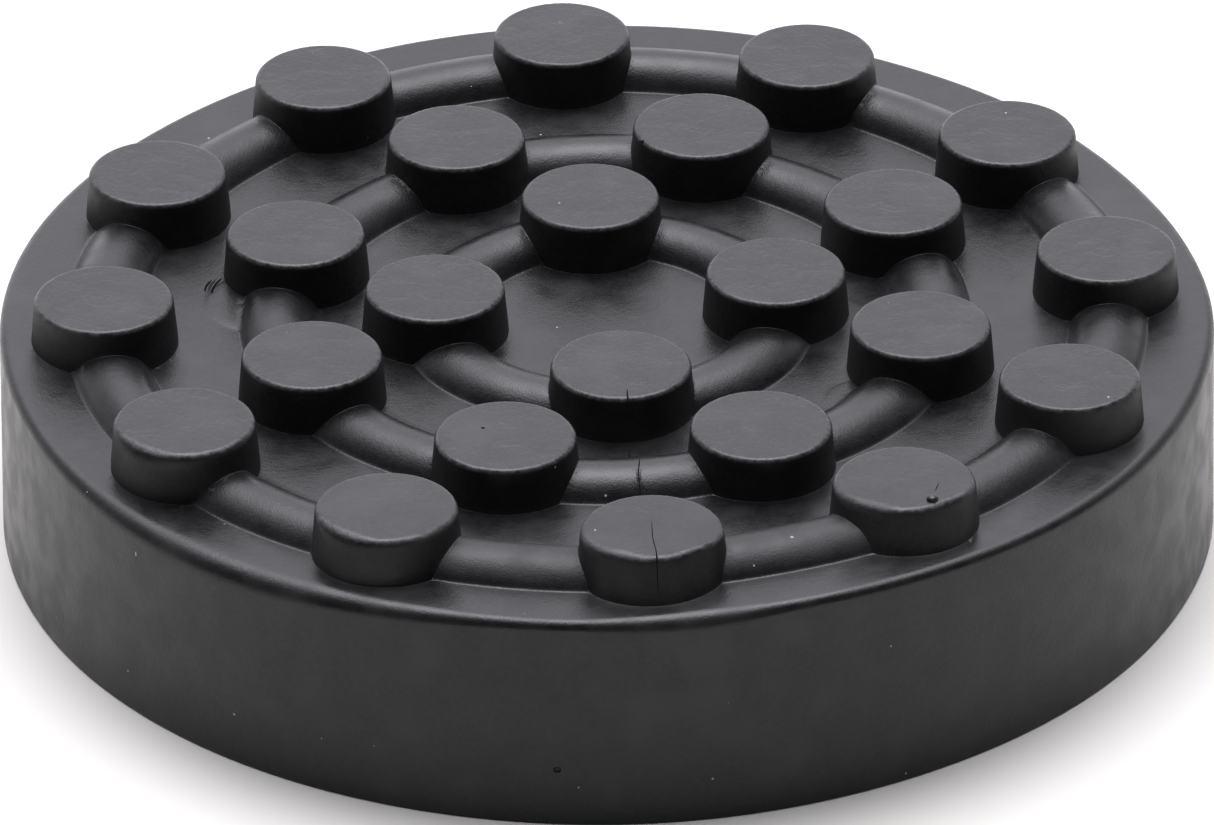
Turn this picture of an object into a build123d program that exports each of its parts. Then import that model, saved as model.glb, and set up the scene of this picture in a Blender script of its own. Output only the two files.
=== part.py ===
from build123d import *

import math
import os

# Lift arm rubber pad: one rubber moulding, in millimetres.
# The origin is the centre of the foot of the side wall, +Z points up through the tread,
# and the first stud of the outer and the inner ring stands towards -Y.

# Body: a low disc whose wall leans in a little towards the top
base_dia = 120.4
rim_dia = 119.8
rim_height = 22.3
rim_edge_radius = 1.1
base_edge_radius = 0.3

# Tread floor: one shallow dish, from the rim down to the middle
dish_depth = 1.05

# Underside: a plain round pocket that slips over the plate of the lift arm
pocket_dia = 100.0
pocket_depth = 10.0

# Rings of the tread: each one is a ridge that joins its studs
outer_ring_dia = 99.6
middle_ring_dia = 64.8
inner_ring_dia = 33.8
outer_stud_count = 12
middle_stud_count = 8
inner_stud_count = 4

# Studs: short drafted pegs with a rounded upper edge
stud_base_dia = 14.5
stud_top_dia = 13.7
stud_height = 4.6
stud_edge_radius = 0.6

# Ridges: low crowns, a little less than half round
ridge_crown_radius = 4.2
ridge_height = 2.6

# Split where the rubber met itself in the mould: a hair-thin slot in the plane of the front studs
split_width = 0.18
split_depth = 0.5
split_start = 1.0
nick_length = 1.6

# Sizes that follow from the ones above
dish_centre_height = rim_height - dish_depth
dish_sphere_radius = ((rim_dia / 2) ** 2 + dish_depth**2) / (2 * dish_depth)
stud_root = ridge_crown_radius - ridge_height

# Ring diameter, number of studs, and the turn of the first stud from -Y
half_pitch = 180 / middle_stud_count
rings = [
    (outer_ring_dia, outer_stud_count, 0),
    (middle_ring_dia, middle_stud_count, half_pitch),
    (inner_ring_dia, inner_stud_count, 0),
]


def floor_height(ring_dia):
    """Height of the dished tread floor under a ring."""
    radius = ring_dia / 2
    return dish_centre_height + dish_sphere_radius - math.sqrt(dish_sphere_radius**2 - radius**2)


def ridge_centre_height(ring_dia):
    """Height of the centre of a ridge's crown, which lies a little below the floor."""
    return floor_height(ring_dia) + ridge_height - ridge_crown_radius


# One stud, standing on the floor at its own origin, with a root below that joins the body
with BuildPart() as stud:
    with BuildSketch(Plane.XZ) as stud_section:
        with BuildLine():
            Polyline(
                (0, -stud_root),
                (stud_base_dia / 2, -stud_root),
                (stud_base_dia / 2, 0),
                (stud_top_dia / 2, stud_height),
                (0, stud_height),
                close=True,
            )
        make_face()
        top_corner = stud_section.vertices().group_by(Axis.Y)[-1].sort_by(Axis.X)[-1]
        fillet(top_corner, stud_edge_radius)
    revolve(axis=Axis.Z)

with BuildPart() as lift_pad:
    # Disc in section: side wall and dished floor, then the ridges on it, then the pocket below
    with BuildSketch(Plane.XZ) as body_section:
        with BuildLine():
            Polyline(
                (0, dish_centre_height),
                (0, 0),
                (base_dia / 2, 0),
                (rim_dia / 2, rim_height),
            )
            TangentArc((0, dish_centre_height), (rim_dia / 2, rim_height), tangent=(1, 0))
        make_face()
        rim_corner = body_section.vertices().sort_by(Axis.Y)[-1]
        fillet(rim_corner, rim_edge_radius)
        base_corner = body_section.vertices().group_by(Axis.Y)[0].sort_by(Axis.X)[-1]
        fillet(base_corner, base_edge_radius)
        for ring_dia, stud_count, turn in rings:
            with Locations((ring_dia / 2, ridge_centre_height(ring_dia))):
                Circle(ridge_crown_radius)
        with Locations((0, 0)):
            Rectangle(
                pocket_dia / 2,
                pocket_depth,
                align=(Align.MIN, Align.MIN),
                mode=Mode.SUBTRACT,
            )
    revolve(axis=Axis.Z)

    # Studs, evenly round each ridge
    for ring_dia, stud_count, turn in rings:
        with Locations((0, 0, floor_height(ring_dia))):
            with PolarLocations(ring_dia / 2, stud_count, start_angle=turn - 90):
                add(stud.part)

    # Split over the front stud of the outer ring, along its face and down its wall
    front_stud_y = -outer_ring_dia / 2
    stud_foot = floor_height(outer_ring_dia)
    stud_face = stud_foot + stud_height
    with BuildSketch(Plane.YZ) as stud_split:
        with BuildLine():
            Polyline(
                (front_stud_y + split_start, stud_face + split_depth),
                (front_stud_y + split_start, stud_face),
                (front_stud_y + split_start - split_depth, stud_face - split_depth),
                (front_stud_y - stud_top_dia / 2 + split_depth, stud_face - split_depth),
                (front_stud_y - stud_base_dia / 2 + split_depth, stud_foot + split_depth),
                (front_stud_y - stud_base_dia / 2 - split_depth, stud_foot + split_depth),
                (front_stud_y - stud_base_dia / 2 - split_depth, stud_face + split_depth),
                close=True,
            )
        make_face()
    extrude(amount=split_width / 2, both=True, mode=Mode.SUBTRACT)

    # Split over the middle ridge, from its crest down its front
    ridge_mid_y = -middle_ring_dia / 2
    ridge_front_y = ridge_mid_y - ridge_crown_radius
    ridge_foot = floor_height(middle_ring_dia)
    ridge_crest = ridge_foot + ridge_height
    with BuildSketch(Plane.YZ) as ridge_split:
        with BuildLine():
            Polyline(
                (ridge_mid_y, ridge_crest + split_depth),
                (ridge_mid_y, ridge_crest - split_depth),
                (ridge_front_y + 2 * split_depth, ridge_foot + split_depth),
                (ridge_front_y - split_depth, ridge_foot + split_depth),
                (ridge_front_y - split_depth, ridge_crest + split_depth),
                close=True,
            )
        make_face()
    extrude(amount=split_width / 2, both=True, mode=Mode.SUBTRACT)

    # Nick in the front edge of the inner ring's front stud
    nick_edge_y = -inner_ring_dia / 2 - stud_top_dia / 2
    nick_face = floor_height(inner_ring_dia) + stud_height
    with BuildSketch(Plane.YZ) as edge_nick:
        with BuildLine():
            Polyline(
                (nick_edge_y + nick_length, nick_face + split_depth),
                (nick_edge_y + nick_length, nick_face),
                (nick_edge_y - split_depth, nick_face - nick_length),
                (nick_edge_y - split_depth, nick_face + split_depth),
                close=True,
            )
        make_face()
    extrude(amount=split_width, both=True, mode=Mode.SUBTRACT)

lift_pad.part.label = "lift_pad"

os.makedirs("parts", exist_ok=True)
export_step(lift_pad.part, "parts/lift_pad.step")
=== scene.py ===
"""Lift arm rubber pad: the finished look of the one moulded piece, in metres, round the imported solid."""

import math
from collections import namedtuple

import bpy
from mathutils import Matrix, Vector


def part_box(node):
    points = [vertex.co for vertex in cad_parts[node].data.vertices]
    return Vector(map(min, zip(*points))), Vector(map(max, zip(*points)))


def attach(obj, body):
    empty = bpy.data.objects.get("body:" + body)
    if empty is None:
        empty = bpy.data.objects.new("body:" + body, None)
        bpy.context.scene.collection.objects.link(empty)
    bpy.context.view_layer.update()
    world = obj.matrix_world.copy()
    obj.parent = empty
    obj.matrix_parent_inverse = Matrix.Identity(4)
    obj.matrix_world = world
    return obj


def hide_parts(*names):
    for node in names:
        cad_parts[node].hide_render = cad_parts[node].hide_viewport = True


MM = 0.001

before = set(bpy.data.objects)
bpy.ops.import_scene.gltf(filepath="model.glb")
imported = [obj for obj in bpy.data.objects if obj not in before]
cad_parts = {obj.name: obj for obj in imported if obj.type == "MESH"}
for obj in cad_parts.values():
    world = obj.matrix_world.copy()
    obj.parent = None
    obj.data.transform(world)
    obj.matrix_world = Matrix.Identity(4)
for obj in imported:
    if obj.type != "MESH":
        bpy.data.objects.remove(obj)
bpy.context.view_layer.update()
scene = bpy.context.scene

# Overall sizes, read from the frame, in millimetres
pad_low, pad_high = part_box("lift_pad")
base_radius = (pad_high.x - pad_low.x) / 2 / MM
stud_top_level = pad_high.z / MM

# Body: how far the wall leans in, and how far the highest studs stand above the rim
wall_lean = 0.3
tops_above_rim = 4.276
rim_radius = base_radius - wall_lean
rim_level = stud_top_level - tops_above_rim
rim_edge_radius = 1.0
base_edge_radius = 0.3
pocket_radius = 50.0
pocket_depth = 10.0

# How far the middle of the tread floor and of the stud tops is dished
floor_dish = 1.4
top_dish = 1.05

# Rings of the tread, with the turn of the first stud from -Y in degrees
Ring = namedtuple("Ring", ("radius", "stud_count", "turn"))
outer_ring = Ring(49.8, 12, 0.0)
middle_ring = Ring(32.4, 8, 22.5)
inner_ring = Ring(16.9, 4, 0.0)
rings = (inner_ring, middle_ring, outer_ring)

# Studs and ridges
stud_base_radius = 7.25
stud_top_radius = 6.85
stud_height = 4.6
stud_edge_radius = 0.55
stud_foot_radius = 0.09
ridge_crown_radius = 4.2
ridge_height = 2.4

# Blend at the feet of the ridges, on the sides that face the front and the back
ridge_foot_blend = 0.4
ridge_far_blend = 1.6

# Outer studs whose front leans back from the foot, and by how much at the top
front_lean = {0: 1.6, 1: 1.5, 2: 0.45, 10: 0.1, 11: 0.4}

# Outer studs with a rounder edge: what is added to its radius in front, and once more at the left front
soft_edged = (0, 1, 10, 11)
front_softening = 0.35
left_softening = 0.6

# Studs that stand a little off their even places: ring and number, then x and y
stud_nudges = {
    (outer_ring, 4): (-0.3, -0.3),
    (outer_ring, 5): (-0.5, -0.4),
    (outer_ring, 8): (0.3, -0.1),
    (outer_ring, 9): (0.2, -0.2),
    (middle_ring, 0): (0.0, -0.4),
    (middle_ring, 5): (0.1, -0.5),
}

# Where the moulding isn't true: direction in degrees from -Y towards +X, and half width
# of each lobe, then how far the floor and rim rise there
floor_lobes = (
    (-55.0, 42.0, -0.7),
    (15.0, 26.0, 0.45),
    (55.0, 24.0, -0.3),
    (135.0, 40.0, -0.35),
    (-135.0, 40.0, -0.35),
)
# The same for the side wall: how far it stands out at the rim and at the foot
wall_lobes = (
    (-50.0, 40.0, 0.35, 0.0),
    (28.0, 36.0, -0.35, -0.5),
    (78.0, 20.0, 0.25, 0.25),
    (110.0, 24.0, -0.5, -0.35),
)

# Where the rim's edge is rounder: direction and half width in degrees, and what is added to its radius
rim_edge_lobes = (
    (-42.0, 34.0, 1.15),
    (3.0, 12.0, 0.6),
)

# How finely the mesh is divided
body_segments = 288
stud_segments = 80
rim_edge_steps = 12
base_edge_steps = 4
stud_edge_steps = 7
stud_foot_steps = 4

# Sizes that follow
ridge_drop = ridge_crown_radius - ridge_height
ridge_half_width = math.sqrt(ridge_crown_radius**2 - ridge_drop**2)


def smooth_step(low, high, value):
    """0 below low, 1 above high, and an easy curve between."""
    share = min(1.0, max(0.0, (value - low) / (high - low)))
    return share * share * (3 - 2 * share)


def smooth_max(a, b, width):
    """The larger of a and b, with the corner between them filled."""
    near = max(width - abs(a - b), 0.0) / width
    return max(a, b) + near * near * width / 4


def azimuth(x, y):
    """Direction of a point seen from the pad's axis, in degrees from -Y towards +X."""
    return math.degrees(math.atan2(x, -y))


def lobe(centre, half_width, direction):
    """1 at the middle of a lobe, and 0 outside its half width."""
    return 1 - smooth_step(0.0, half_width, abs(math.remainder(direction - centre, 360)))


def dish_level(radius, depth):
    """Height of a shallow dish that starts at the rim."""
    return rim_level - depth * (1 - (radius / rim_radius) ** 2)


def floor_sag(x, y):
    """How far the floor lies above or below the true dish, because the moulding has warped."""
    reach = min(1.0, math.hypot(x, y) / rim_radius)
    direction = azimuth(x, y)
    return reach**2 * sum(rise * lobe(centre, half, direction) for centre, half, rise in floor_lobes)


def tread_level(x, y):
    """Height of the tread without its studs: the floor and the ring ridges."""
    radius = math.hypot(x, y)
    level = dish_level(radius, floor_dish)
    for ring in rings:
        offset = radius - ring.radius
        if abs(offset) < ridge_crown_radius:
            crown_centre = dish_level(ring.radius, floor_dish) - ridge_drop
            crown = crown_centre + math.sqrt(ridge_crown_radius**2 - offset**2)
            facing_back = smooth_step(0.0, 0.6, math.copysign(1.0, offset) * y / radius)
            blend = ridge_foot_blend + (ridge_far_blend - ridge_foot_blend) * facing_back
            level = smooth_max(level, crown, blend)
    return level + floor_sag(x, y)


def stud_top(ring):
    """Height of the stud tops of one ring."""
    return dish_level(ring.radius, top_dish) + stud_height


def fillet_arc(corner, first, second, radius, count):
    """Points of the arc that rounds a corner, from the first direction to the second."""
    half = math.acos(max(-1.0, min(1.0, first.dot(second)))) / 2
    start = corner + first * (radius / math.tan(half))
    centre = corner + (first + second).normalized() * (radius / math.sin(half))
    sweep = math.pi - 2 * half
    side = 1.0 if first.cross(second) < 0 else -1.0
    arm = start - centre
    return [centre + Matrix.Rotation(side * sweep * step / count, 2) @ arm for step in range(count + 1)]


def tread_radii():
    """Distances from the axis at which the tread is divided, closer where it bends."""
    crown_steps = 16
    crown_margin = 0.35
    foot_offsets = (-0.3, -0.2, -0.1, 0.0, 0.1, 0.2, 0.35, 0.6)
    floor_step = 1.0
    stops = []
    for ring in rings:
        crown = []
        for step in range(1, crown_steps):
            share = 2 * step / crown_steps - 1
            crown.append(ring.radius + (ridge_half_width - crown_margin) * math.sin(share * math.pi / 2))
        inner_foot = [ring.radius - ridge_half_width - offset for offset in reversed(foot_offsets)]
        outer_foot = [ring.radius + ridge_half_width + offset for offset in foot_offsets]
        stops.append(inner_foot + crown + outer_foot)

    # The last stop leaves room for the rim's edge where it is roundest
    rim_margin = 2.3 * rim_edge_radius
    stops.append([rim_radius - rim_margin])
    radii = [0.0]
    for stop in stops:
        start = radii[-1]
        gap = stop[0] - start
        pieces = max(1, round(gap / floor_step))
        for piece in range(1, pieces):
            radii.append(start + gap * piece / pieces)
        radii.extend(stop)
    return radii


def wall_profile(edge_radius):
    """Section of the body from the rim's edge, down the wall, round the foot and into the pocket."""
    rim_corner = Vector((rim_radius, rim_level))
    base_corner = Vector((base_radius, 0.0))
    down_wall = (base_corner - rim_corner).normalized()
    rim_slope = 2 * floor_dish / rim_radius
    down_floor = Vector((-1.0, -rim_slope)).normalized()
    points = fillet_arc(rim_corner, down_floor, down_wall, edge_radius, rim_edge_steps)
    base_arc = fillet_arc(base_corner, -down_wall, Vector((-1.0, 0.0)), base_edge_radius, base_edge_steps)
    wall_top = points[-1]
    wall_rows = 16
    for row in range(1, wall_rows):
        points.append(wall_top.lerp(base_arc[0], row / wall_rows))
    points += base_arc

    # In along the foot, up the pocket's wall and along its ceiling
    foot_margin = 3.0
    points.append(Vector((pocket_radius + foot_margin, 0.0)))
    points.append(Vector((pocket_radius, 0.0)))
    points.append(Vector((pocket_radius, pocket_depth / 2)))
    for share in (1.0, 0.75, 0.5, 0.25):
        points.append(Vector((pocket_radius * share, pocket_depth)))
    return points


def body_point(radius, level, angle, on_tread):
    """A point of the body in space, with the warp of the floor and the wall."""
    wall_warp_start = 54.0
    wall_warp_full = rim_radius - 0.5
    x = math.cos(angle)
    y = math.sin(angle)
    direction = azimuth(x, y)
    outer = smooth_step(wall_warp_start, wall_warp_full, radius)
    height_share = min(1.0, level / rim_level)
    for centre, half, rim_out, foot_out in wall_lobes:
        out = foot_out + (rim_out - foot_out) * height_share
        radius += out * outer * lobe(centre, half, direction)
    if on_tread:
        return Vector((x * radius, y * radius, tread_level(x * radius, y * radius)))
    sag = floor_sag(x * radius, y * radius) * smooth_step(pocket_depth, rim_level, level)
    return Vector((x * radius, y * radius, level + sag))


def new_object(name, vertices, faces):
    """A mesh object from points in millimetres."""
    mesh = bpy.data.meshes.new(name)
    mesh.from_pydata([Vector(v) * MM for v in vertices], [], faces)
    mesh.validate()
    made = bpy.data.objects.new(name, mesh)
    scene.collection.objects.link(made)
    return made


def make_shell(name, rows, start, end):
    """A closed shell from rings of points, from one end point to the other."""
    segments = len(rows[0])
    vertices = [start, end]
    for row in rows:
        vertices.extend(row)
    faces = []
    last = 2 + (len(rows) - 1) * segments
    for segment in range(segments):
        after = (segment + 1) % segments
        faces.append((0, 2 + segment, 2 + after))
        faces.append((1, last + after, last + segment))
        for row in range(len(rows) - 1):
            near = 2 + row * segments
            far = near + segments
            faces.append((near + segment, far + segment, far + after, near + after))
    return new_object(name, vertices, faces)


def turns(count):
    """Even angles once round, in radians."""
    return [2 * math.pi * step / count for step in range(count)]


def middle_of(points):
    """The middle of several points."""
    return sum(points, Vector()) / len(points)


def make_body():
    """The disc with its dished floor, ridges and pocket."""
    columns = []
    for angle in turns(body_segments):
        direction = azimuth(math.cos(angle), math.sin(angle))
        rounding = sum(extra * lobe(centre, half, direction) for centre, half, extra in rim_edge_lobes)
        column = [body_point(radius, rim_level, angle, True) for radius in tread_radii()[1:]]
        for point in wall_profile(rim_edge_radius + rounding):
            column.append(body_point(point.x, point.y, angle, False))
        columns.append(column)
    rows = [list(row) for row in zip(*columns)]
    floor_middle = Vector((0, 0, tread_level(0, 0)))
    pocket_middle = Vector((0, 0, pocket_depth))
    return make_shell("lift_pad_body", rows, floor_middle, pocket_middle)


def stud_form(ring, index, angle):
    """How far a stud leans in at its top in one direction, and its edge radius there."""
    front = -90.0
    left_front = -140.0

    # How far off those directions each change starts to fade, and where it has gone, in degrees
    lean_fade = (30.0, 85.0)
    front_fade = (40.0, 90.0)
    left_fade = (10.0, 45.0)

    lean = 0.0
    edge = stud_edge_radius
    if ring == outer_ring and index in front_lean:
        off_front = abs(math.remainder(math.degrees(angle) - front, 360))
        off_left_front = abs(math.remainder(math.degrees(angle) - left_front, 360))
        lean = front_lean[index] * (1 - smooth_step(*lean_fade, off_front))
        if index in soft_edged:
            edge += front_softening * (1 - smooth_step(*front_fade, off_front))
            edge += left_softening * (1 - smooth_step(*left_fade, off_left_front))
    return lean, edge


def stud_wall(lean, height):
    """Radius of a stud's wall at a height above its foot."""
    return stud_base_radius - (stud_base_radius - stud_top_radius + lean) * height / stud_height


def stud_section(centre, angle, top_level, lean, edge_radius):
    """One radial section of a stud, over its edge and down to the tread that it grows out of."""
    out = Vector((math.cos(angle), math.sin(angle)))

    def base_level(distance):
        return tread_level(centre.x + out.x * distance, centre.y + out.y * distance)

    foot_level = top_level - stud_height
    draft = (stud_base_radius - stud_top_radius + lean) / stud_height
    up_wall = Vector((-draft, 1.0)).normalized()

    # Where the wall meets the tread, found in a few rounds because the tread isn't level
    junction = stud_base_radius
    for attempt in range(4):
        junction = stud_wall(lean, max(0.0, base_level(junction) - foot_level))
    probe = 0.05
    slope = (base_level(junction + probe) - base_level(junction)) / probe
    corner = Vector((junction, base_level(junction)))
    along = Vector((1.0, slope)).normalized()

    # The foot is filleted where the stud meets a ridge, and crisp where it meets the floor
    crisp_radius = 0.02
    place = centre + out * junction
    rise = corner.y - dish_level(place.length, floor_dish) - floor_sag(*place)
    on_ridge = smooth_step(0.1, 0.8, rise)
    foot_radius = crisp_radius + stud_foot_radius * on_ridge
    top_corner = Vector((stud_wall(lean, stud_height), top_level))
    edge = fillet_arc(top_corner, Vector((-1.0, 0.0)), -up_wall, edge_radius, stud_edge_steps)
    foot = fillet_arc(corner, up_wall, along, foot_radius, stud_foot_steps)
    points = []
    for share in (0.35, 0.7, 0.92, 0.985):
        points.append(Vector((edge[0].x * share, top_level)))
    points += edge
    wall_rows = 6
    for row in range(1, wall_rows):
        level = edge[-1].y + (foot[0].y - edge[-1].y) * row / wall_rows
        points.append(Vector((stud_wall(lean, level - foot_level), level)))
    for point in foot:
        lift = point.y - (corner.y + slope * (point.x - corner.x))
        level = point.y
        if point.x > junction:
            level = base_level(point.x) + lift
        points.append(Vector((point.x, level)))

    # Beyond the foot the shell dives into the body, least where a ridge carries its fillet
    floor_sink = 0.1
    ridge_sink = 0.012
    root_depth = 3.0
    beyond_foot = 0.1
    reach = foot[-1].x + beyond_foot
    sink = floor_sink + (ridge_sink - floor_sink) * on_ridge
    points.append(Vector((reach, base_level(reach) - sink)))
    points.append(Vector((reach, foot_level - root_depth)))
    return points


def stud_centre(ring, index):
    """Place of a stud's axis, with its nudge."""
    turn = math.radians(ring.turn + 360 * index / ring.stud_count)
    nudge = stud_nudges.get((ring, index), (0.0, 0.0))
    return Vector((ring.radius * math.sin(turn) + nudge[0], -ring.radius * math.cos(turn) + nudge[1]))


def make_stud(ring, index):
    """One stud as a closed shell whose foot follows the floor and the ridge."""
    centre = stud_centre(ring, index)
    top_level = stud_top(ring)
    sections = []
    for angle in turns(stud_segments):
        lean, edge_radius = stud_form(ring, index, angle)
        section = stud_section(centre, angle, top_level, lean, edge_radius)
        out = Vector((math.cos(angle), math.sin(angle)))
        sections.append([Vector((*(centre + out * point.x), point.y)) for point in section])
    rows = [list(row) for row in zip(*sections)]
    return make_shell("stud", rows, Vector((*centre, top_level)), Vector((*centre, rows[-1][0].z)))


def make_ball(centre, radius, height=None):
    """A round or flattened ball, for small nibs and pin-holes."""
    height = height or radius
    rows = []
    steps = 8
    for step in range(1, steps):
        tilt = math.pi * step / steps
        flat = radius * math.sin(tilt)
        level = centre.z + height * math.cos(tilt)
        middle = Vector((centre.x, centre.y, level))
        rows.append([middle + Vector((flat * math.cos(a), flat * math.sin(a), 0)) for a in turns(20)])
    up = Vector((0, 0, height))
    return make_shell("ball", rows, centre + up, centre - up)


def make_blade(path, width, depth):
    """A closed wedge that cuts a split along a path of points on the surface with their outward normals."""
    clear = 0.3
    rows = []
    last = len(path) - 1
    for index, (point, normal) in enumerate(path):
        tangent = path[min(index + 1, last)][0] - path[max(index - 1, 0)][0]
        side = tangent.cross(normal).normalized()
        size = 1 - 0.75 * abs(2 * index / last - 1) ** 4
        deep = depth * size
        across = side * (width * size / 2 * (1 + clear / deep))
        above = point + normal * clear
        rows.append([above - across, point - normal * deep, above + across])
    return make_shell("blade", rows, middle_of(rows[0]), middle_of(rows[-1]))


def make_bead(path, offset, radius, sink):
    """A thin half-sunk bead along a path, tapered at both ends."""
    rows = []
    last = len(path) - 1
    for index, (point, normal) in enumerate(path):
        tangent = path[min(index + 1, last)][0] - path[max(index - 1, 0)][0]
        side = tangent.cross(normal).normalized()
        size = radius * math.sin(math.pi * (index + 0.6) / (last + 1.2))
        middle = point + side * offset - normal * sink
        rows.append([middle + (side * math.cos(a) + normal * math.sin(a)) * size for a in turns(8)])
    return make_shell("bead", rows, middle_of(rows[0]), middle_of(rows[-1]))


def tread_path(points):
    """Points on the tread with their outward normals, from places in plan."""
    probe = 0.02
    path = []
    for x, y in points:
        level = tread_level(x, y)
        slope_x = (tread_level(x + probe, y) - level) / probe
        slope_y = (tread_level(x, y + probe) - level) / probe
        path.append((Vector((x, y, level)), Vector((-slope_x, -slope_y, 1.0)).normalized()))
    return path


def line_points(start, end, count, wander=0.0):
    """Places in plan from start to end, with a slight wander to each side."""
    start = Vector(start)
    end = Vector(end)
    across = (end - start).orthogonal().normalized()
    points = []
    for step in range(count + 1):
        share = step / count
        points.append(start.lerp(end, share) + across * wander * math.sin(7.0 * share + 1.0))
    return points


def curve_points(first, middle, last, count):
    """Places in plan on an even curve through three points."""
    points = []
    for step in range(count + 1):
        share = step / count
        first_part = 2 * (share - 0.5) * (share - 1)
        middle_part = 4 * share * (1 - share)
        last_part = 2 * share * (share - 0.5)
        points.append(Vector(first) * first_part + Vector(middle) * middle_part + Vector(last) * last_part)
    return points


def make_mound(centre, radius, height, edge_step):
    """A low swelling of the floor with a faint edge, which leaves the ridges as they are."""
    ridge_sink = 0.05
    floor_sink = 0.004
    root_depth = 2.0
    rows = []
    for share in (0.12, 0.24, 0.36, 0.48, 0.6, 0.7, 0.8, 0.88, 0.94, 0.98, 1.0):
        row = []
        for angle in turns(96):
            x = centre[0] + radius * share * math.cos(angle)
            y = centre[1] + radius * share * math.sin(angle)
            level = tread_level(x, y)
            ridge = level - dish_level(math.hypot(x, y), floor_dish) - floor_sag(x, y)
            on_floor = 1 - smooth_step(0.0, 0.4, ridge)
            lift = height * (1 - share**2) + edge_step * (1 - smooth_step(0.9, 1.0, share))
            sink = floor_sink + ridge_sink * (1 - on_floor)
            row.append(Vector((x, y, level + on_floor * lift - sink)))
        rows.append(row)
    rows.append([Vector((point.x, point.y, point.z - root_depth)) for point in rows[-1]])
    start = middle_of(rows[0])
    return make_shell("mound", rows, start, start - Vector((0, 0, root_depth + 1.0)))


def front_stud_split():
    """Path of the split over the front stud: along its face, over the edge and down its leaning front."""
    centre_y = -outer_ring.radius
    top_level = stud_top(outer_ring)
    lean, edge_radius = stud_form(outer_ring, 0, -math.pi / 2)
    face_end = centre_y - stud_wall(lean, stud_height) + edge_radius
    up = Vector((0, 0, 1))
    path = []
    for x, y in line_points((0.0, -48.1), (-0.05, face_end), 8, 0.06):
        path.append((Vector((x, y, top_level)), up))
    draft = (stud_base_radius - stud_top_radius + lean) / stud_height
    for share in (0.9, 0.75, 0.6, 0.45, 0.3):
        height = stud_height * share
        place = Vector((-0.05, centre_y - stud_wall(lean, height), top_level - stud_height + height))
        path.append((place, Vector((0, -1, draft)).normalized()))
    return path


def inner_stud_notch():
    """Path of the notch in the front edge of the inner ring's front stud."""
    edge_y = -inner_ring.radius - stud_top_radius
    top_level = stud_top(inner_ring)
    up = Vector((0, 0, 1))
    front = Vector((0, -1, 0))
    return [
        (Vector((0.16, edge_y + 1.9, top_level)), up),
        (Vector((0.08, edge_y + 1.0, top_level)), up),
        (Vector((0.05, edge_y + 0.35, top_level - 0.05)), (up * 2 + front).normalized()),
        (Vector((0.04, edge_y, top_level - 0.35)), (up + front * 2).normalized()),
        (Vector((0.04, edge_y - 0.1, top_level - 1.0)), front),
    ]


def join(objects, name):
    """Several mesh objects as one, without merging them."""
    bpy.ops.object.select_all(action="DESELECT")
    for one in objects:
        one.select_set(True)
    bpy.context.view_layer.objects.active = objects[0]
    bpy.ops.object.join()
    objects[0].name = name
    return objects[0]


def combine(target, tool, operation):
    """Adds or cuts a tool mesh, and deletes the tool."""
    modifier = target.modifiers.new("combine", "BOOLEAN")
    modifier.operation = operation
    modifier.solver = "MANIFOLD"
    modifier.object = tool
    bpy.context.view_layer.objects.active = target
    bpy.ops.object.modifier_apply(modifier=modifier.name)
    bpy.data.objects.remove(tool)


def add_marks(body):
    """The small marks of the moulding: swellings, a vent pip, splits, flash, a pin-hole and a nick."""
    outer_top = stud_top(outer_ring)
    middle_top = stud_top(middle_ring)
    pip = Vector((27.2, -46.85, outer_top))
    ridge_split = tread_path(line_points((0.4, -31.4), (0.05, -36.0), 14, 0.07))
    floor_split = tread_path(line_points((-0.05, -25.5), (-0.15, -28.3), 4, 0.04))
    scratch_places = line_points((27.6, -45.4), (28.15, -43.8), 4)
    scratch = [(Vector((*point, outer_top)), Vector((0, 0, 1))) for point in scratch_places]

    mounds = (
        ((-33.4, 6.4), 6.1, 0.2, 0.09),
        ((23.6, -17.9), 3.8, 0.1, 0.03),
    )
    added = [make_mound(*mound) for mound in mounds]
    added += [make_bead(ridge_split[4:], offset, 0.12, 0.08) for offset in (-0.16, 0.16)]
    added.append(make_ball(pip + Vector((0, 0.05, 0.04)), 0.58, 0.4))
    flash_lip = curve_points((-38.9, 8.75), (-38.5, 10.3), (-37.75, 11.65), 10)
    added.append(make_bead(tread_path(flash_lip), 0.0, 0.16, 0.04))
    nib = Vector((6.15, 27.3, middle_top - 0.12))
    added.append(make_ball(nib, 0.2))
    combine(body, join(added, "added"), "UNION")

    # The pin-hole, the hollow before the pip, the nick in a stud's face and the pock in the wall
    pits = (
        (Vector((-14.43, -28.34, middle_top)), 0.2),
        (pip + Vector((0.1, -0.64, 0.02)), 0.14),
        (Vector((55.45, 3.1, outer_top + 0.12)), 0.2),
        (Vector((-10.08, -59.4, 6.1)), 0.4),
    )
    # Each path, with the width and depth of its cut
    splits = (
        (ridge_split, 0.13, 0.4),
        (front_stud_split(), 0.1, 0.3),
        (inner_stud_notch(), 0.16, 0.3),
        (floor_split, 0.1, 0.25),
        (scratch, 0.1, 0.15),
    )
    curls = (
        ((14.07, -41.06), (14.6, -40.2), (15.48, -40.22)),
        ((-12.41, 20.07), (-11.5, 20.5), (-10.61, 19.92)),
    )
    flashes = (
        ((-39.16, 9.01), (-38.92, 10.2), (-38.34, 11.33)),
        ((-38.52, 8.46), (-38.07, 10.3), (-37.21, 11.77)),
    )
    cut = [make_ball(*pit) for pit in pits]
    cut += [make_blade(*split) for split in splits]
    cut += [make_blade(tread_path(curve_points(*points, 8)), 0.1, 0.08) for points in curls]
    cut += [make_blade(tread_path(curve_points(*points, 10)), 0.24, 0.24) for points in flashes]
    combine(body, join(cut, "cut"), "DIFFERENCE")


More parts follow.
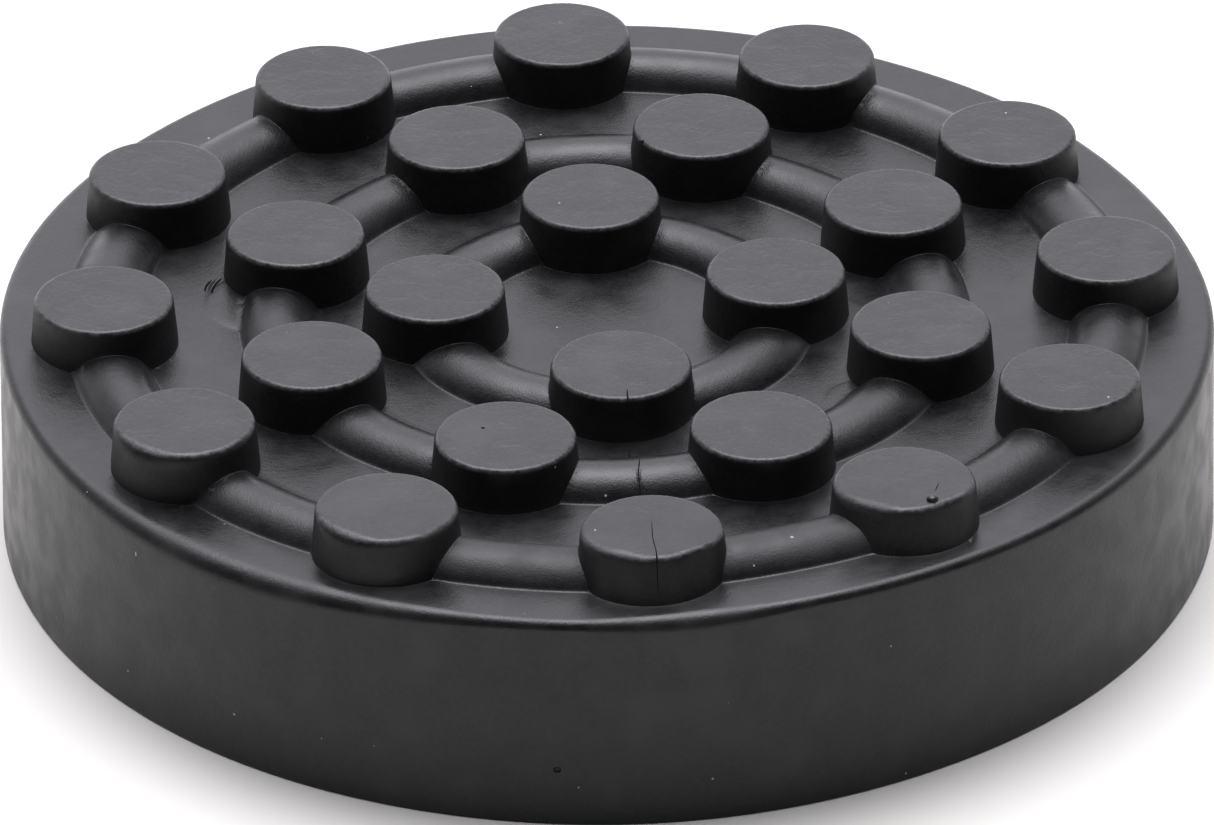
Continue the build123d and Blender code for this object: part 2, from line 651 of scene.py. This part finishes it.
def make_pad():
    """The whole pad as one closed mesh."""
    body = make_body()
    studs = []
    for ring in rings:
        for index in range(ring.stud_count):
            studs.append(make_stud(ring, index))
    combine(body, join(studs, "studs"), "UNION")
    add_marks(body)
    body.name = "lift_pad_rubber"
    body.data.name = "lift_pad_rubber"
    return body


def note_places(mesh):
    """Stores each point's place seen from the nearest stud's axis, and its depth below that stud's top."""
    stud_places = []
    for ring in rings:
        for index in range(ring.stud_count):
            stud_places.append((stud_centre(ring, index), stud_top(ring)))
    places = mesh.attributes.new("stud_place", "FLOAT_VECTOR", "POINT")
    for vertex in mesh.vertices:
        here = vertex.co / MM
        flat = here.xy
        centre, top_level = min(stud_places, key=lambda place: (place[0] - flat).length_squared)
        away = flat - centre
        places.data[vertex.index].vector = (away.x, away.y, top_level - here.z)


class Graph:
    """Adds nodes to a node tree, with their inputs set or linked in the same call."""

    def __init__(self, tree):
        self.tree = tree

    def add(self, kind, inputs, **settings):
        """A new node with its settings, and its inputs by name or number."""
        node = self.tree.nodes.new(kind)
        for name, value in settings.items():
            setattr(node, name, value)
        for key, value in inputs.items():
            if isinstance(value, bpy.types.NodeSocket):
                self.tree.links.new(value, node.inputs[key])
            else:
                node.inputs[key].default_value = value
        return node

    def math(self, operation, a, b=0.0):
        """One step of arithmetic."""
        return self.add("ShaderNodeMath", {0: a, 1: b}, operation=operation).outputs[0]

    def product(self, *values):
        """All the values multiplied."""
        result = values[0]
        for value in values[1:]:
            result = self.math("MULTIPLY", result, value)
        return result

    def total(self, *values):
        """All the values added."""
        result = values[0]
        for value in values[1:]:
            result = self.math("ADD", result, value)
        return result

    def scaled(self, vector, factor):
        """A vector made longer or shorter."""
        inputs = {0: vector, "Scale": factor}
        return self.add("ShaderNodeVectorMath", inputs, operation="SCALE").outputs["Vector"]

    def length(self, vector):
        """Length of a vector."""
        return self.add("ShaderNodeVectorMath", {0: vector}, operation="LENGTH").outputs["Value"]

    def split(self, vector):
        """The x, y and z of a vector."""
        return self.add("ShaderNodeSeparateXYZ", {0: vector}).outputs

    def merge(self, x, y, z):
        """A vector from its x, y and z."""
        return self.add("ShaderNodeCombineXYZ", {0: x, 1: y, 2: z}).outputs[0]

    def ramp(self, value, low, high, first=0.0, last=1.0):
        """From first to last, on an easy curve, as the value goes from low to high."""
        inputs = {"Value": value, "From Min": low, "From Max": high, "To Min": first, "To Max": last}
        return self.add("ShaderNodeMapRange", inputs, interpolation_type="SMOOTHSTEP").outputs["Result"]

    def noise(self, vector, scale, detail=2.0, roughness=0.5):
        """Smooth random values from 0 to 1."""
        inputs = {"Vector": vector, "Scale": scale, "Detail": detail, "Roughness": roughness}
        return self.add("ShaderNodeTexNoise", inputs).outputs["Fac"]

    def mix(self, share, a, b):
        """Two colours, mixed."""
        node = self.add("ShaderNodeMix", {0: share, 6: a, 7: b}, data_type="RGBA")
        return node.outputs[2]

    def bump(self, height, distance, strength, normal=None):
        """The surface normal, tilted by a pattern of heights."""
        inputs = {"Height": height, "Distance": distance, "Strength": strength}
        if normal:
            inputs["Normal"] = normal
        return self.add("ShaderNodeBump", inputs).outputs["Normal"]

    def specks(self, place, cell_size, keep, radius):
        """Sparse round specks: one in each cell of a fine division, of which only a few are kept."""
        cell = self.add("ShaderNodeTexVoronoi", {"Vector": place, "Scale": 1 / cell_size})
        chance = self.split(cell.outputs["Color"])
        kept = self.math("GREATER_THAN", chance[0], 1 - keep)
        size = self.ramp(chance[1], 0.0, 1.0, 0.4 * radius / cell_size, radius / cell_size)
        near = self.math("LESS_THAN", cell.outputs["Distance"], size)
        return self.math("MULTIPLY", kept, near)


def rubber_material():
    """Black moulded rubber: satin, finely grained, with faint bloom, rings, worn edges and dust."""
    material = bpy.data.materials.new("black_rubber")
    material.use_nodes = True
    graph = Graph(material.node_tree)
    shader = material.node_tree.nodes["Principled BSDF"]
    shader.inputs["IOR"].default_value = 1.40

    dark_tone = (0.0028, 0.0028, 0.0030, 1.0)
    light_tone = (0.0100, 0.0100, 0.0104, 1.0)
    bloom_tone = (0.016, 0.016, 0.0165, 1.0)
    worn_tone = (0.050, 0.050, 0.051, 1.0)
    dust_tone = (0.30, 0.29, 0.27, 1.0)

    # Larger bits of dust: their places on the pad, and the half sizes that dust_size scales, in millimetres
    dust_size = 0.7
    dust = (
        ((-48.54, -35.43, 18.26), (0.25, 0.25, 0.6)),
        ((23.05, -55.50, 20.50), (0.28, 0.28, 0.24)),
        ((33.21, -50.09, 16.56), (0.22, 0.22, 0.2)),
        ((-13.10, -58.66, 18.13), (0.2, 0.2, 0.18)),
        ((-14.20, -58.40, 21.34), (0.16, 0.16, 0.14)),
        ((-9.02, -59.42, 22.50), (0.3, 0.3, 0.14)),
        ((8.80, -55.43, 22.17), (0.16, 0.16, 0.14)),
        ((13.48, -48.94, 24.46), (0.22, 0.22, 0.2)),
        ((-31.22, -1.72, 26.58), (0.24, 0.24, 0.2)),
        ((-5.42, -49.30, 26.58), (0.16, 0.16, 0.14)),
    )

    # Where a point lies on the pad, on its nearest stud and below that stud's top, in millimetres
    texture_place = graph.add("ShaderNodeTexCoord", {}).outputs
    place = graph.scaled(texture_place["Object"], 1 / MM)
    x, y, z = graph.split(place)
    stud_place = graph.add("ShaderNodeAttribute", {}, attribute_name="stud_place").outputs["Vector"]
    stud_x, stud_y, stud_depth = graph.split(stud_place)
    from_stud = graph.length(graph.merge(stud_x, stud_y, 0.0))
    on_top = graph.ramp(stud_depth, 0.4, 0.05)
    below_top = graph.ramp(stud_depth, 1.0, 2.0)
    upright = graph.ramp(graph.math("ABSOLUTE", graph.split(texture_place["Normal"])[2]), 0.7, 0.3)
    axis_distance = graph.length(graph.merge(x, y, 0.0))
    stud_wall_share = graph.product(upright, graph.ramp(axis_distance, 59.0, 58.0))

    # Slow waviness, mottle and fine grain of the moulded skin
    waves = graph.noise(place, 0.08, 0.0)
    mottle = graph.noise(place, 1.5, 1.0, 0.6)
    grain = graph.noise(place, 5.5, 0.0)
    patches = graph.noise(place, 0.3, 1.0, 0.55)

    # Faint rings on parts of the stud tops
    ring_spacing = 0.55
    ring_wave = graph.math("SINE", graph.product(from_stud, 2 * math.pi / ring_spacing))
    ring_strength = graph.product(graph.ramp(patches, 0.45, 0.65), on_top)

    # Parts of a faint round mark near the middle of the stud tops
    disc = graph.ramp(graph.total(from_stud, graph.ramp(waves, 0.2, 0.8, -1.0, 1.0)), 2.0, 2.5)

    normal = graph.bump(waves, 0.12 * MM, 1.0)
    normal = graph.bump(patches, 0.16 * MM, on_top, normal)
    normal = graph.bump(mottle, 0.05 * MM, graph.ramp(stud_depth, 0.4, 0.05, 0.35, 1.0), normal)
    normal = graph.bump(ring_wave, 0.003 * MM, ring_strength, normal)
    normal = graph.bump(disc, 0.03 * MM, ring_strength, normal)
    normal = graph.bump(grain, 0.014 * MM, 1.0, normal)

    # Bloom, worn stud edges, specks and dust
    bloom = graph.ramp(graph.noise(place, 0.16, 1.0, 0.6), 0.5, 0.75, 0.0, 0.7)
    edge_band = graph.product(graph.ramp(stud_depth, 0.005, 0.06), graph.ramp(stud_depth, 0.5, 0.15))
    worn = graph.product(edge_band, graph.ramp(mottle, 0.3, 0.7, 0.1, 0.75))
    specks = graph.specks(place, 1.6, 0.05, 0.13)
    for centre, half_size in dust:
        away = graph.add("ShaderNodeVectorMath", {0: place, 1: centre}, operation="SUBTRACT").outputs[0]
        share = graph.add("ShaderNodeVectorMath", {0: away, 1: half_size}, operation="DIVIDE").outputs[0]
        specks = graph.math("MAXIMUM", specks, graph.math("LESS_THAN", graph.length(share), dust_size))
    blotches = graph.product(graph.ramp(mottle, 0.3, 0.7), 0.5)
    speckle = graph.product(graph.ramp(grain, 0.25, 0.75), 0.5)
    colour = graph.mix(graph.total(blotches, speckle), dark_tone, light_tone)
    colour = graph.mix(bloom, colour, bloom_tone)
    colour = graph.mix(worn, colour, worn_tone)
    colour = graph.mix(specks, colour, dust_tone)

    # The outer ridge is duller in front, and the walls of the front studs are smoother at their feet
    off_ridge = graph.math("ABSOLUTE", graph.math("SUBTRACT", axis_distance, outer_ring.radius))
    front_ridge = graph.product(graph.ramp(y, -36.0, -48.0, 0.0, 0.15), graph.ramp(off_ridge, 3.8, 3.2))
    uneven = graph.ramp(patches, 0.3, 0.7, -0.05, 0.05)
    in_front = graph.ramp(y, -46.0, -52.0)
    low_down = graph.ramp(stud_depth, 0.8, 4.2)
    front_foot = graph.product(in_front, low_down, stud_wall_share)
    roughness = graph.total(
        0.28,
        front_ridge,
        uneven,
        graph.product(upright, 0.04),
        graph.product(stud_wall_share, 0.22),
        graph.product(front_foot, -0.24),
        graph.product(below_top, 0.05),
        graph.product(bloom, 0.04),
        graph.product(worn, 0.12),
        graph.product(specks, 0.4),
    )
    for name, socket in (("Base Color", colour), ("Roughness", roughness), ("Normal", normal)):
        material.node_tree.links.new(socket, shader.inputs[name])
    return material


def make_floor():
    """A plain pale floor that the pad stands on, 6 m across."""
    reach = 3.0
    mesh = bpy.data.meshes.new("floor")
    corners = [(-reach, -reach, 0), (reach, -reach, 0), (reach, reach, 0), (-reach, reach, 0)]
    mesh.from_pydata(corners, [], [(0, 1, 2, 3)])
    floor = bpy.data.objects.new("floor", mesh)
    scene.collection.objects.link(floor)
    material = bpy.data.materials.new("pale_floor")
    material.use_nodes = True
    shader = material.node_tree.nodes["Principled BSDF"]
    shader.inputs["Base Color"].default_value = (0.68, 0.67, 0.63, 1)
    shader.inputs["Roughness"].default_value = 0.9
    shader.inputs["Specular IOR Level"].default_value = 0.0
    mesh.materials.append(material)


def make_world():
    """Soft studio light: a broad glow overhead, a white sweep behind the pad and a dim room in front."""
    room_level = 0.09
    sweep_level = 1.7
    side_share = 0.55
    glow_level = 10.0
    glow_spread = math.radians(21)
    glow_width = 1.35
    glow_tilt = math.radians(16)
    world = bpy.data.worlds.new("studio")
    world.use_nodes = True
    graph = Graph(world.node_tree)
    direction = graph.add("ShaderNodeTexCoord", {}).outputs["Generated"]
    side, ahead, above = graph.split(direction)
    fade = graph.ramp(graph.math("ABSOLUTE", side), 0.25, 0.65, 1.0, side_share)
    sweep = graph.product(graph.ramp(ahead, -0.3, 0.78, room_level, sweep_level), fade)
    glow_centre = (0.0, math.sin(glow_tilt), math.cos(glow_tilt))
    squeezed = graph.merge(graph.math("DIVIDE", side, glow_width), ahead, above)
    squeezed = graph.add("ShaderNodeVectorMath", {0: squeezed}, operation="NORMALIZE").outputs["Vector"]
    inputs = {0: squeezed, 1: glow_centre}
    cosine = graph.add("ShaderNodeVectorMath", inputs, operation="DOT_PRODUCT").outputs["Value"]
    share = graph.math("DIVIDE", graph.math("ARCCOSINE", cosine), glow_spread)
    fall = graph.math("EXPONENT", graph.product(share, share, -1.0))
    background = world.node_tree.nodes["Background"]
    background.inputs["Color"].default_value = (0.985, 0.975, 1.05, 1)
    strength = graph.total(sweep, graph.product(fall, glow_level))
    world.node_tree.links.new(strength, background.inputs["Strength"])
    scene.world = world


def make_camera():
    """The photograph's view: about 30 degrees down, from 1.2 m, through a long lens."""
    elevation = math.radians(30.25)
    turn = math.radians(4.94)
    roll = math.radians(0.384)
    distance = 1211.4
    target = Vector((0.06, -20.7, 22.68))
    image_width = 1214
    focal_pixels = 12432.9
    sensor_width = 36.0
    back = Vector((0, -math.cos(elevation), math.sin(elevation)))
    right = Vector((1, 0, 0))
    up = Vector((0, math.sin(elevation), math.cos(elevation)))
    across = math.cos(roll) * right - math.sin(roll) * up
    upward = math.sin(roll) * right + math.cos(roll) * up
    place = (target + back * distance) * MM
    matrix = Matrix.Identity(4)
    for column, direction in enumerate((across, upward, back, place)):
        for row in range(3):
            matrix[row][column] = direction[row]
    data = bpy.data.cameras.new("camera")
    data.sensor_width = sensor_width
    data.lens = focal_pixels * sensor_width / image_width
    data.clip_start = 0.01
    data.clip_end = 20.0
    camera = bpy.data.objects.new("camera", data)
    scene.collection.objects.link(camera)
    camera.matrix_world = Matrix.Rotation(-turn, 4, "Z") @ matrix
    scene.camera = camera


scene.view_settings.view_transform = "Standard"
make_camera()
make_world()
make_floor()

pad = make_pad()
note_places(pad.data)
pad.data.materials.clear()
pad.data.materials.append(rubber_material())
pad.data.shade_smooth()
pad.data.set_sharp_from_angle(angle=math.radians(40))
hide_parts("lift_pad")
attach(pad, "root")
